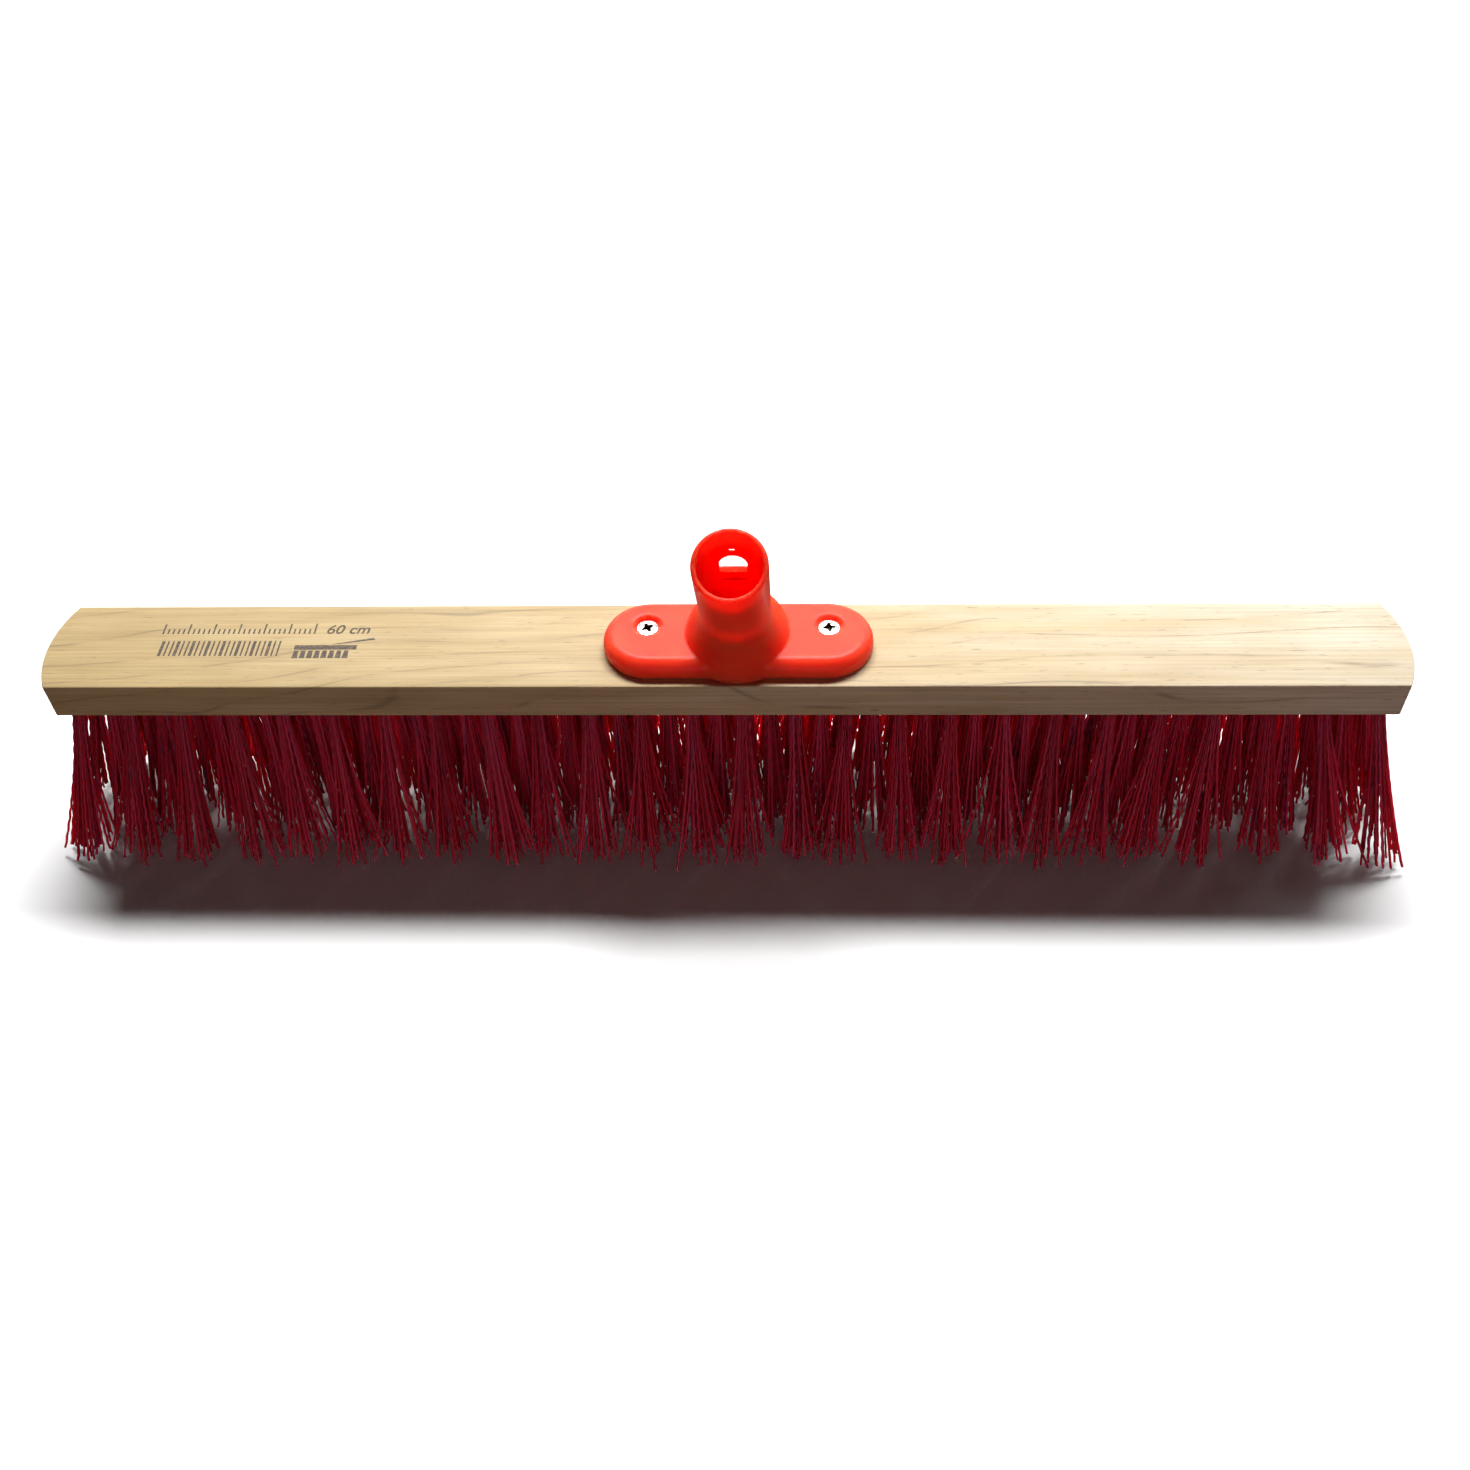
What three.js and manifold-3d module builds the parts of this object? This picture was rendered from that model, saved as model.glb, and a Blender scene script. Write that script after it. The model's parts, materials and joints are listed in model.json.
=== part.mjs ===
// Head of a 600 mm push broom: a drilled wooden block, five rows of bristle tufts, and a
// moulded socket for the handle, held on the block by two countersunk screws.
// Millimetres, +Z up. The head stands on its bristle tips, with the origin on the floor
// under the middle of the block, +X along the block and -Y towards the person sweeping.
import * as THREE from "three";
import { mergeVertices } from "three/addons/utils/BufferGeometryUtils.js";
import Module from "manifold-3d";

const wasm = await Module();
wasm.setup();

// ---------------------------------------------------------------- driving dimensions

const clearance = 0.3; // between two pieces that touch
const cutOver = 2; // how far a cutting shape runs past the face that it cuts
const degree = Math.PI / 180;

const block = {
  length: 600,
  width: 52,
  thickness: 18,
  endBulge: 6.2, // how far each end bows out past its corners
  easedEdge: 0.8,
};

const tuft = {
  freeLength: 85, // from the block down to the floor
  pitch: 22.92, // along a row
  rows: 5,
  holeWidth: 7, // across the flats of a tuft hole
  sideMargin: 7, // from the block's long side to the outer row of holes
  endMargin: 13, // at least this far from the block's end to a hole of the outer rows
  woodLeft: 7.5, // between the bottom of a hole and the block's top
  splayAcross: 2.06, // tip spacing over root spacing, across the block
  uprightShare: 0.7, // tufts this far out from the middle stand upright along the block
  endSplay: 20, // past them the tips spread out, by this much at the outermost tuft
  tipOverlap: 0.5, // how far the fans of a row run into each other at the floor
  tipHalfWidth: 7.5,
};

const socket = {
  shift: 9.5, // its centre is this far from the block's middle, along X
  setForward: 1.2, // and this far in front of it
  plateLength: 118,
  plateWidth: 41,
  plateThickness: 9,
  plateRounding: 5,
  lean: 60 * degree, // the tube's axis above the horizontal
  reach: 87, // from the plate's top to the middle of the mouth, along the tube
  tubeDiameter: 30,
  rimRounding: 0.6,
  boreAtMouth: 26,
  boreAtBottom: 24,
  boreDepth: 78,
  bossFootDiameter: 47,
  bossDiameter: 43,
  bossHeight: 16,
};

const rearWindow = { width: 11.4, top: 25.6, sill: 40.3 }; // top and sill from the mouth
const handleScrewHole = { diameter: 3.2, fromMouth: 19.5 };

const screw = {
  spacing: 79.5,
  setBack: 4, // behind the plate's centre line
  headDiameter: 9.5,
  headHeight: 3,
  headRim: 0.5, // the straight edge of the head above its cone
  shankDiameter: 4.5,
  pointLength: 4,
  pilotLeft: 0.8, // wood between the pilot hole and the tuft holes below it
  recessDiameter: 13,
  recessDepth: 1.4,
  crossWidth: 1.2,
  crossLength: 5,
  crossDepth: 1.6,
};

// ---------------------------------------------------------------- derived places

const underside = tuft.freeLength;
const blockTop = underside + block.thickness;
const plateBottom = blockTop + clearance;
const plateTop = plateBottom + socket.plateThickness;
const socketY = -socket.setForward;
const tubeAxis = new THREE.Vector3(0, -Math.cos(socket.lean), Math.sin(socket.lean));
const tubeFoot = new THREE.Vector3(socket.shift, socketY, plateTop);

const screwXs = [-1, 1].map((side) => socket.shift + (side * screw.spacing) / 2);
const screwY = socketY + screw.setBack;
const headTop = plateTop - screw.recessDepth;
const screwTip = blockTop - tuft.woodLeft + screw.pilotLeft + clearance;

// ---------------------------------------------------------------- shaping helpers

// A closed geometry as a solid that can be joined and cut.
function solid(geometry) {
  const bare = geometry.clone();
  bare.deleteAttribute("normal");
  bare.deleteAttribute("uv");
  const merged = mergeVertices(bare, 1e-4);
  return new wasm.Manifold(
    new wasm.Mesh({
      numProp: 3,
      vertProperties: merged.attributes.position.array,
      triVerts: new Uint32Array(merged.index.array),
    }),
  );
}

// A solid back as a geometry with flat facets.
function facets(made) {
  const { vertProperties, triVerts, numProp } = made.getMesh();
  const corners = new Float32Array((vertProperties.length / numProp) * 3);
  for (let i = 0; i < corners.length / 3; i++)
    corners.set(vertProperties.subarray(i * numProp, i * numProp + 3), i * 3);
  const geometry = new THREE.BufferGeometry();
  geometry.setAttribute("position", new THREE.BufferAttribute(corners, 3));
  geometry.setIndex(new THREE.BufferAttribute(triVerts, 1));
  const flat = geometry.toNonIndexed();
  flat.computeVertexNormals();
  return flat;
}

const joinAll = (solids) => solids.reduce((sum, next) => sum.add(next));
const cutAll = (body, cutters) => cutters.reduce((left, next) => left.subtract(next), body);

// A skin through level convex rings with equal numbers of points, from the lowest ring up.
function loft(rings) {
  const count = rings[0].length;
  const faces = [];
  for (let ring = 0; ring + 1 < rings.length; ring++)
    for (let i = 0; i < count; i++) {
      const here = ring * count + i;
      const next = ring * count + ((i + 1) % count);
      faces.push(here, next, next + count, here, next + count, here + count);
    }
  const top = (rings.length - 1) * count;
  for (let i = 1; i + 1 < count; i++) faces.push(0, i + 1, i, top, top + i, top + i + 1);
  const corners = rings.flat().flatMap((p) => [p.x, p.y, p.z]);
  const geometry = new THREE.BufferGeometry();
  geometry.setAttribute("position", new THREE.Float32BufferAttribute(corners, 3));
  geometry.setIndex(faces);
  return geometry;
}

// A level ring of points, counter-clockwise from above, with a flat side facing +X.
// Across its flats it is 2 * halfX by 2 * halfY.
function ring(center, halfX, halfY, sides) {
  const toCorner = 1 / Math.cos(Math.PI / sides);
  return Array.from({ length: sides }, (_, i) => {
    const angle = ((i + 0.5) / sides) * 2 * Math.PI;
    return new THREE.Vector3(
      center.x + halfX * toCorner * Math.cos(angle),
      center.y + halfY * toCorner * Math.sin(angle),
      center.z,
    );
  });
}

// A turned solid on the Z axis, from its profile of [radius, height] points.
function turned(profile, sides) {
  const points = profile.map(([radius, height]) => new THREE.Vector2(radius, height));
  return new THREE.LatheGeometry(points, sides).rotateX(Math.PI / 2);
}

// Stands a geometry made on the Z axis on the tube's axis, its foot on the plate's top.
function alongTube(geometry) {
  const turn = new THREE.Quaternion();
  turn.setFromUnitVectors(new THREE.Vector3(0, 0, 1), tubeAxis);
  return geometry.applyQuaternion(turn).translate(tubeFoot.x, tubeFoot.y, tubeFoot.z);
}

// ---------------------------------------------------------------- tuft pattern

const holeDepth = block.thickness - tuft.woodLeft;
const rowSpacing = (block.width - 2 * tuft.sideMargin) / (tuft.rows - 1);
const fullRow = Math.floor((block.length - 2 * tuft.endMargin) / tuft.pitch) + 1;
const outermost = ((fullRow - 1) / 2) * tuft.pitch;
const endSlope = tuft.endSplay / (outermost * (1 - tuft.uprightShare));
const tipHalfLength = (tuft.pitch * (1 + endSlope)) / 2 + tuft.tipOverlap;

// How far a tip is from the block's middle: only the tufts near the ends lean along it.
function tipAlong(along) {
  const past = Math.max(0, Math.abs(along) - outermost * tuft.uprightShare);
  return along + Math.sign(along) * endSlope * past;
}

// The tufts of a row: the outer rows are full, and every second row is set in by half a
// pitch. Each tuft leans out from the block's middle, in line with its drilled hole.
function tuftsOfRow(row) {
  const count = fullRow - (row % 2);
  const across = (row - (tuft.rows - 1) / 2) * rowSpacing;
  return Array.from({ length: count }, (_, i) => {
    const along = (i - (count - 1) / 2) * tuft.pitch;
    const root = new THREE.Vector3(along, across, underside);
    const tip = new THREE.Vector3(tipAlong(along), across * tuft.splayAcross, 0);
    return { root, tip };
  });
}

// A point on a tuft's line, at a height.
function onTuft({ root, tip }, height) {
  return tip.clone().lerp(root, height / underside);
}

// ---------------------------------------------------------------- wooden block

function blockPlan() {
  const halfWidth = block.width / 2;
  const corner = block.length / 2 - block.endBulge;
  const radius = (halfWidth ** 2 + block.endBulge ** 2) / (2 * block.endBulge);
  const center = block.length / 2 - radius;
  const sweep = Math.atan2(halfWidth, corner - center);
  const plan = new THREE.Shape();
  plan.moveTo(-corner, -halfWidth);
  plan.lineTo(corner, -halfWidth);
  plan.absarc(center, 0, radius, -sweep, sweep, false);
  plan.lineTo(-corner, halfWidth);
  plan.absarc(-center, 0, radius, Math.PI - sweep, Math.PI + sweep, false);
  return plan;
}

function tuftHole(place) {
  const half = tuft.holeWidth / 2;
  const heights = [underside - cutOver, underside + holeDepth];
  return solid(loft(heights.map((height) => ring(onTuft(place, height), half, half, 8))));
}

function pilotHole(x) {
  const depth = tuft.woodLeft - screw.pilotLeft;
  const radius = screw.shankDiameter / 2 + clearance;
  const hole = new THREE.CylinderGeometry(radius, radius, depth + cutOver, 12);
  hole.rotateX(Math.PI / 2).translate(x, screwY, blockTop + (cutOver - depth) / 2);
  return solid(hole);
}

function woodBlock() {
  const shape = new THREE.ExtrudeGeometry(blockPlan(), {
    depth: block.thickness - 2 * block.easedEdge,
    curveSegments: 10,
    bevelThickness: block.easedEdge,
    bevelSize: block.easedEdge,
    bevelOffset: -block.easedEdge,
    bevelSegments: 1,
  });
  shape.translate(0, 0, underside + block.easedEdge);
  const rows = Array.from({ length: tuft.rows }, (_, row) => tuftsOfRow(row));
  const holes = rows.flat().map(tuftHole);
  return cutAll(solid(shape), [...holes, ...screwXs.map(pilotHole)]);
}

// ---------------------------------------------------------------- bristle rows

// One tuft: a plug in its hole, and below the block a fan that opens towards the floor.
function tuftFan(place) {
  const sides = 6;
  // The plug's corners keep the clearance to the flats of its hole.
  const plug = (tuft.holeWidth / 2 - clearance) * Math.cos(Math.PI / sides);
  const plugTop = underside + holeDepth - clearance;
  return solid(
    loft([
      ring(onTuft(place, 0), tipHalfLength, tuft.tipHalfWidth, sides),
      ring(onTuft(place, underside), plug, plug, sides),
      ring(onTuft(place, plugTop), plug, plug, sides),
    ]),
  );
}

const bristleRow = (row) => joinAll(tuftsOfRow(row).map(tuftFan));

// ---------------------------------------------------------------- screws

function crossRecess() {
  const depth = screw.crossDepth + cutOver;
  const arms = [0, Math.PI / 2].map((turn) => {
    const arm = new THREE.BoxGeometry(screw.crossLength, screw.crossWidth, depth);
    return solid(arm.rotateZ(turn).translate(0, 0, depth / 2 - screw.crossDepth));
  });
  return joinAll(arms);
}

// A screw on the Z axis, with the top of its head at zero.
function countersunkScrew() {
  const head = screw.headDiameter / 2;
  const shank = screw.shankDiameter / 2;
  const tip = screwTip - headTop;
  const profile = [
    [0, tip],
    [shank, tip + screw.pointLength],
    [shank, -screw.headHeight],
    [head, -screw.headRim],
    [head, 0],
    [0, 0],
  ];
  return solid(turned(profile, 20)).subtract(crossRecess());
}

// ---------------------------------------------------------------- handle socket

// The plate: a long plan with round ends, rounded over along its top edge.
function socketPlate() {
  const radius = socket.plateWidth / 2;
  const straight = socket.plateLength / 2 - radius;
  const plan = new THREE.Shape();
  plan.moveTo(-straight, -radius);
  plan.lineTo(straight, -radius);
  plan.absarc(straight, 0, radius, -Math.PI / 2, Math.PI / 2, false);
  plan.lineTo(-straight, radius);
  plan.absarc(-straight, 0, radius, Math.PI / 2, Math.PI * 1.5, false);
  const plate = new THREE.ExtrudeGeometry(plan, {
    depth: socket.plateThickness,
    curveSegments: 12,
    bevelThickness: socket.plateRounding,
    bevelSize: socket.plateRounding,
    bevelOffset: -socket.plateRounding,
    bevelSegments: 4,
  });
  return solid(plate.translate(socket.shift, socketY, plateBottom - socket.plateRounding));
}

// The boss: drafted sides up to the plate's top, and a dome that carries the tube.
function socketBoss() {
  const radius = socket.bossDiameter / 2;
  const dome = [0, 15, 30, 45, 60, 75].map((angle) => [
    radius * Math.cos(angle * degree),
    plateTop + socket.bossHeight * Math.sin(angle * degree),
  ]);
  const crown = [0, plateTop + socket.bossHeight];
  const foot = [socket.bossFootDiameter / 2, plateBottom];
  const profile = [[0, plateBottom], foot, ...dome, crown];
  return solid(turned(profile, 36).translate(socket.shift, socketY, 0));
}

function socketTube() {
  const radius = socket.tubeDiameter / 2;
  const profile = [
    [0, -socket.plateThickness],
    [radius, -socket.plateThickness],
    [radius, socket.reach - socket.rimRounding],
    [radius - socket.rimRounding, socket.reach],
    [0, socket.reach],
  ];
  return solid(alongTube(turned(profile, 48)));
}

// The bore for the handle, a little narrower at its bottom than at its mouth.
function handleBore() {
  const mouth = socket.boreAtMouth / 2;
  const bottom = socket.boreAtBottom / 2;
  const start = socket.reach - socket.boreDepth;
  const profile = [
    [0, start],
    [bottom, start],
    [mouth, socket.reach],
    [mouth, socket.reach + cutOver],
    [0, socket.reach + cutOver],
  ];
  return solid(alongTube(turned(profile, 40)));
}

// A cutter through the rear wall of the tube only, from a plan whose Y runs up the tube.
function throughRearWall(plan) {
  const cutter = new THREE.ExtrudeGeometry(plan, {
    depth: socket.tubeDiameter,
    curveSegments: 8,
    bevelEnabled: false,
  });
  return solid(alongTube(cutter.rotateX(Math.PI / 2).rotateZ(Math.PI)));
}

function windowPlan() {
  const half = rearWindow.width / 2;
  const sill = socket.reach - rearWindow.sill;
  const spring = socket.reach - rearWindow.top - half;
  const plan = new THREE.Shape();
  plan.moveTo(-half, sill);
  plan.lineTo(half, sill);
  plan.absarc(0, spring, half, 0, Math.PI, false);
  return plan;
}

function screwHolePlan() {
  const plan = new THREE.Shape();
  const height = socket.reach - handleScrewHole.fromMouth;
  plan.absarc(0, height, handleScrewHole.diameter / 2, 0, 2 * Math.PI, false);
  return plan;
}

// The seat of a screw: a dish down to the head, its cone, and the hole for the shank.
function screwSeat(x) {
  const head = screw.headDiameter / 2 + clearance;
  const shank = screw.shankDiameter / 2 + clearance;
  const profile = [
    [0, plateBottom - cutOver],
    [shank, plateBottom - cutOver],
    [shank, headTop - screw.headHeight],
    [head, headTop - screw.headRim],
    [head, headTop],
    [screw.recessDiameter / 2, plateTop],
    [screw.recessDiameter / 2, plateTop + cutOver],
    [0, plateTop + cutOver],
  ];
  return solid(turned(profile, 24).translate(x, screwY, 0));
}

// Everything below the plate's seat on the block.
function belowPlate() {
  const depth = socket.tubeDiameter;
  const slab = new THREE.BoxGeometry(2 * socket.plateLength, 2 * socket.plateLength, depth);
  return solid(slab.translate(socket.shift, socketY, plateBottom - depth / 2));
}

function handleSocket() {
  const body = joinAll([socketPlate(), socketBoss(), socketTube()]);
  return cutAll(body, [
    belowPlate(),
    handleBore(),
    throughRearWall(windowPlan()),
    throughRearWall(screwHolePlan()),
    ...screwXs.map(screwSeat),
  ]);
}

// ---------------------------------------------------------------- materials

const finishes = {
  wood: { color: 0xd9c39a, roughness: 0.75, metalness: 0 },
  plastic: { color: 0xd92a12, roughness: 0.38, metalness: 0 },
  bristle: { color: 0x8e1f22, roughness: 0.5, metalness: 0 },
  zinc: { color: 0xd2d0ca, roughness: 0.25, metalness: 1 },
};

function piece(name, made, finish) {
  const mesh = new THREE.Mesh(facets(made), new THREE.MeshStandardMaterial(finishes[finish]));
  mesh.name = name;
  return mesh;
}

// ---------------------------------------------------------------- the broom head

const broomHead = new THREE.Group();
broomHead.add(piece("wood_block", woodBlock(), "wood"));
broomHead.add(piece("handle_socket", handleSocket(), "plastic"));

["socket_screw_left", "socket_screw_right"].forEach((name, side) => {
  const mesh = piece(name, countersunkScrew(), "zinc");
  mesh.position.set(screwXs[side], screwY, headTop);
  broomHead.add(mesh);
});

const rowNames = ["front", "front_inner", "middle", "rear_inner", "rear"];
for (let row = 0; row < tuft.rows; row++)
  broomHead.add(piece("bristle_row_" + rowNames[row], bristleRow(row), "bristle"));

export default broomHead;
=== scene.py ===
# %% [markdown]
# # A push broom head
# The head of a push broom has four kinds of piece. A drilled wooden block carries 128 tufts
# of crimped plastic filament. A moulded socket takes the handle. Two countersunk screws
# hold the socket down, and a flat staple in every hole holds its tuft. This lesson builds
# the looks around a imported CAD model: each piece is made in metres, where the model has it.

# %% Load the frame
import json
import math

import bpy
import numpy as np
from mathutils import Matrix, Vector


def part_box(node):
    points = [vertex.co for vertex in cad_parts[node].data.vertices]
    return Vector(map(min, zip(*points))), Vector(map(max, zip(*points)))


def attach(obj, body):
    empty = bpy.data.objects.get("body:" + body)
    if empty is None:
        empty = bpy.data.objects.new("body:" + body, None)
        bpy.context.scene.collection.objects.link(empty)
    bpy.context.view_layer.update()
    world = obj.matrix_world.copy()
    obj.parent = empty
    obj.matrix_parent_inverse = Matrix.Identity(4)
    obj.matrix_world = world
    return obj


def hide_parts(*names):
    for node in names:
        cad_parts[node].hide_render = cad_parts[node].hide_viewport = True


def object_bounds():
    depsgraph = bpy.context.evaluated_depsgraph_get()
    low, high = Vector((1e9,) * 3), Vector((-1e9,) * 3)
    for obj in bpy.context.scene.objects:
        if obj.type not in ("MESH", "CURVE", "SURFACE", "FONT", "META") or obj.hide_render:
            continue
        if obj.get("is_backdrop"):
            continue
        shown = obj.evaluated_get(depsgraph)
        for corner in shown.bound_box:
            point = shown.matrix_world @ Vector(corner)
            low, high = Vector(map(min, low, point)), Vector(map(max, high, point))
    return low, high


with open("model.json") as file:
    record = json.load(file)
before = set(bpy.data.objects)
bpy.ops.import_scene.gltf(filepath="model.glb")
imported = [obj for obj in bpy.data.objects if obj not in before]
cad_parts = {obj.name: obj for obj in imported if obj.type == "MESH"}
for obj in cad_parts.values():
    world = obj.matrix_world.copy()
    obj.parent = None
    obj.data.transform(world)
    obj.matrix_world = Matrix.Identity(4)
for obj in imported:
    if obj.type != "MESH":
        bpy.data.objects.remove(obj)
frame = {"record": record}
cad_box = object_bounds()
mm = 0.001
print("CAD box, metres:", [tuple(round(x, 4) for x in corner) for corner in cad_box])

# %% [markdown]
# ## Where everything is
# The block, the screws and the mouth of the socket are read from the frame, so the looks
# follow the model. Only sizes that the frame can't tell, such as how wide a tuft's hole is,
# are written here as named values.

# %% Places from the frame
block_low, block_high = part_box("wood_block")
underside, block_top = block_low.z, block_high.z
half_length, half_width = block_high.x, block_high.y

socket_low, socket_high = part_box("handle_socket")
screw_boxes = {side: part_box("socket_screw_" + side) for side in ("left", "right")}
mounts = {mount["name"]: mount for mount in frame["record"]["mounts"]}
tube_axis = Vector(mounts["handle_socket_mouth"]["axis"]).normalized()
print("block top at", round(block_top, 4), "underside at", round(underside, 4))

# %% New objects
def new_object(name, data):
    """An object in the scene, at the origin."""
    made = bpy.data.objects.new(name, data)
    bpy.context.scene.collection.objects.link(made)
    return made


def mesh_object(name, vertices, faces, material=None):
    """An object made from corner points and faces."""
    mesh = bpy.data.meshes.new(name)
    mesh.from_pydata([tuple(v) for v in vertices], [], [tuple(f) for f in faces])
    mesh.update()
    if material:
        mesh.materials.append(material)
    return new_object(name, mesh)


# %% [markdown]
# ## The camera
# The broom stands on its bristles and is seen from the front and above, a little to the
# right of its middle. Three turns place the view: the tilt down, the turn to the side, and
# a slight roll, as when a camera is held by hand.

# %% Camera
camera_data = bpy.data.cameras.new("camera")
camera_data.sensor_width = 36.0
camera_data.lens = 36.3
camera = new_object("camera", camera_data)
tilt_down, turn, roll = math.radians(47.45), math.radians(3.33), math.radians(-2.46)
camera.matrix_world = (
    Matrix.Translation((0.0336, -0.4696, 0.5565))
    @ Matrix.Rotation(turn, 4, "Z")
    @ Matrix.Rotation(math.pi / 2 - tilt_down, 4, "X")
    @ Matrix.Rotation(roll, 4, "Z")
)
bpy.context.scene.camera = camera

# %% [markdown]
# ## Helpers for node trees
# Materials and Geometry Nodes are both trees of nodes. One helper adds a node, sets its
# options, and fills or links its inputs; two more write arithmetic as short calls.

# %% Node helpers
def add(tree, kind, inputs=None, **options):
    """A node of a kind. Inputs are given by name or number, as values or as other sockets."""
    made = tree.nodes.new(kind)
    for option, value in options.items():
        setattr(made, option, value)
    for key, value in (inputs or {}).items():
        if isinstance(value, bpy.types.NodeSocket):
            tree.links.new(value, made.inputs[key])
        else:
            made.inputs[key].default_value = value
    return made


def calc(tree, operation, *values):
    """A number worked out from numbers."""
    return add(tree, "ShaderNodeMath", dict(enumerate(values)), operation=operation).outputs[0]


def vector(tree, operation, *values):
    """A vector worked out from vectors; SCALE takes a vector and a number."""
    if operation == "SCALE":
        inputs = {0: values[0], "Scale": values[1]}
    else:
        inputs = dict(enumerate(values))
    return add(tree, "ShaderNodeVectorMath", inputs, operation=operation).outputs[0]


def combine(tree, x=0.0, y=0.0, z=0.0):
    """A vector from three numbers."""
    return add(tree, "ShaderNodeCombineXYZ", {0: x, 1: y, 2: z}).outputs[0]


# %% Material helpers
def new_material(name, **shader_values):
    """A material with a Principled shader. Returns it, its tree and its shader."""
    material = bpy.data.materials.new(name)
    material.use_nodes = True
    tree = material.node_tree
    shader = tree.nodes["Principled BSDF"]
    for socket, value in shader_values.items():
        shader.inputs[socket.replace("_", " ")].default_value = value
    return material, tree, shader


EVEN = (1, 1, 1)


def object_points(tree, scale=EVEN):
    """Object coordinates, stretched by a scale."""
    coordinates = add(tree, "ShaderNodeTexCoord").outputs["Object"]
    return add(tree, "ShaderNodeMapping", {"Vector": coordinates, "Scale": scale}).outputs[0]


def noise(tree, stretch, scale, detail=3.0, distortion=0.0):
    """A soft random pattern from 0 to 1, finer along the axes with a larger stretch."""
    inputs = {"Vector": object_points(tree, stretch), "Scale": scale}
    inputs.update({"Detail": detail, "Distortion": distortion})
    return add(tree, "ShaderNodeTexNoise", inputs).outputs["Fac"]


def ramp(tree, factor, *stops):
    """A colour ramp; each stop is a position and a colour."""
    made = add(tree, "ShaderNodeValToRGB", {"Fac": factor})
    band = made.color_ramp
    while len(band.elements) < len(stops):
        band.elements.new(1.0)
    for element, (position, colour) in zip(band.elements, stops):
        element.position = position
        element.color = (*colour, 1) if len(colour) == 3 else colour
    return made.outputs["Color"]


def blend_colours(tree, factor, first, second, how="MIX"):
    """Two colours mixed by a factor."""
    inputs = {0: factor, 6: first, 7: second}
    return add(tree, "ShaderNodeMix", inputs, data_type="RGBA", blend_type=how).outputs[2]


def feed(tree, shader, **sockets):
    """Links sockets to a shader's inputs by name."""
    for name, socket in sockets.items():
        tree.links.new(socket, shader.inputs[name.replace("_", " ")])


def bump(tree, height, strength, depth):
    """A fine relief, depth metres high."""
    inputs = {"Height": height, "Strength": strength, "Distance": depth}
    return add(tree, "ShaderNodeBump", inputs).outputs[0]


# %% [markdown]
# ## Floor and light
# One large soft light stands behind the broom, high up. It brightens the block's top,
# shines through the bristles, and throws a short soft shadow forward. A weaker panel low
# behind it lets the bristles glow, and a side panel lifts the right end. The front faces
# get only a weak panel, so low that the floor's shadow stays dark. The pale floor is seen
# and takes the shadow, but is kept out of the light that the broom receives. Away from the
# broom it shines a little, like a lit studio sweep, so it stays white to the horizon.

# %% Floor
def floor_material():
    """A matt pale floor that fades to a lit white away from the broom."""
    material, tree, shader = new_material(
        "pale_floor",
        Base_Color=(0.95, 0.95, 0.95, 1),
        Roughness=1.0,
        Specular_IOR_Level=0.0,
        Emission_Color=(1, 1, 1, 1),
    )
    squeezed = object_points(tree, (0.5, 1, 1))
    away = add(tree, "ShaderNodeVectorMath", {0: squeezed}, operation="LENGTH").outputs["Value"]
    shine = ramp(tree, away, (0.3, (0, 0, 0)), (0.7, (1, 1, 1)))
    feed(tree, shader, Emission_Strength=shine)
    return material


floor_reach = 6.0
corner_sides = ((-1, -1), (1, -1), (1, 1), (-1, 1))
floor_corners = [(x * floor_reach, y * floor_reach, 0) for x, y in corner_sides]
floor = mesh_object("floor", floor_corners, [(0, 1, 2, 3)], floor_material())
floor.visible_diffuse = False
floor.visible_glossy = False
floor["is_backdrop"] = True

# %% Light
def area_light(name, place, aim, size, watts, colour=(1, 1, 1)):
    """A soft rectangular light at a place, turned to its aim."""
    data = bpy.data.lights.new(name, "AREA")
    data.shape = "RECTANGLE"
    data.size, data.size_y = size
    data.energy = watts
    data.color = colour
    light = new_object(name, data)
    light.location = place
    light.rotation_euler = (Vector(aim) - Vector(place)).to_track_quat("-Z", "Y").to_euler()
    light.visible_camera = False


area_light("window_behind", (0.08, 0.87, 1.70), (0, 0, 0.05), (1.4, 0.32), 67)
area_light("low_panel_behind", (0.0, 1.5, 0.55), (0, 0, 0.1), (2.6, 0.9), 26)
area_light("panel_at_right", (1.3, 1.2, 0.95), (0.1, 0, 0.08), (1.2, 1.2), 8.5)
area_light("low_panel_in_front", (0.1, -1.7, 0.1), (0, 0, 0.08), (2.6, 0.16), 10, (1, 0.78, 0.80))

# %% [markdown]
# The studio's walls are seen as white, but they give almost no light, because the panels
# do that. A Light Path node tells the two apart: the eye sees one background, and every
# other ray meets the other.

# %% Studio walls
def studio_world(seen, given, strength):
    """A world that looks one colour and lights with another, much weaker."""
    world = bpy.data.worlds.new("studio")
    world.use_nodes = True
    tree = world.node_tree
    light = tree.nodes["Background"]
    light.inputs["Color"].default_value = (*given, 1)
    light.inputs["Strength"].default_value = strength
    wall = add(tree, "ShaderNodeBackground", {"Color": (*seen, 1)})
    eye = add(tree, "ShaderNodeLightPath").outputs["Is Camera Ray"]
    both = add(tree, "ShaderNodeMixShader", {0: eye, 1: light.outputs[0], 2: wall.outputs[0]})
    tree.links.new(both.outputs[0], tree.nodes["World Output"].inputs["Surface"])
    return world


bpy.context.scene.world = studio_world((1, 1, 1), (1.0, 0.88, 0.82), 0.015)
bpy.context.scene.view_settings.view_transform = "Standard"

# %% [markdown]
# ## Wood
# The block is sawn from a pale hardwood, sanded and left bare. Its colour comes from a
# solid pattern that is stretched along the block: long soft bands, wavy growth lines, and
# short dark flecks. Because the pattern fills space, the ends show it end-on by themselves.

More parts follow.
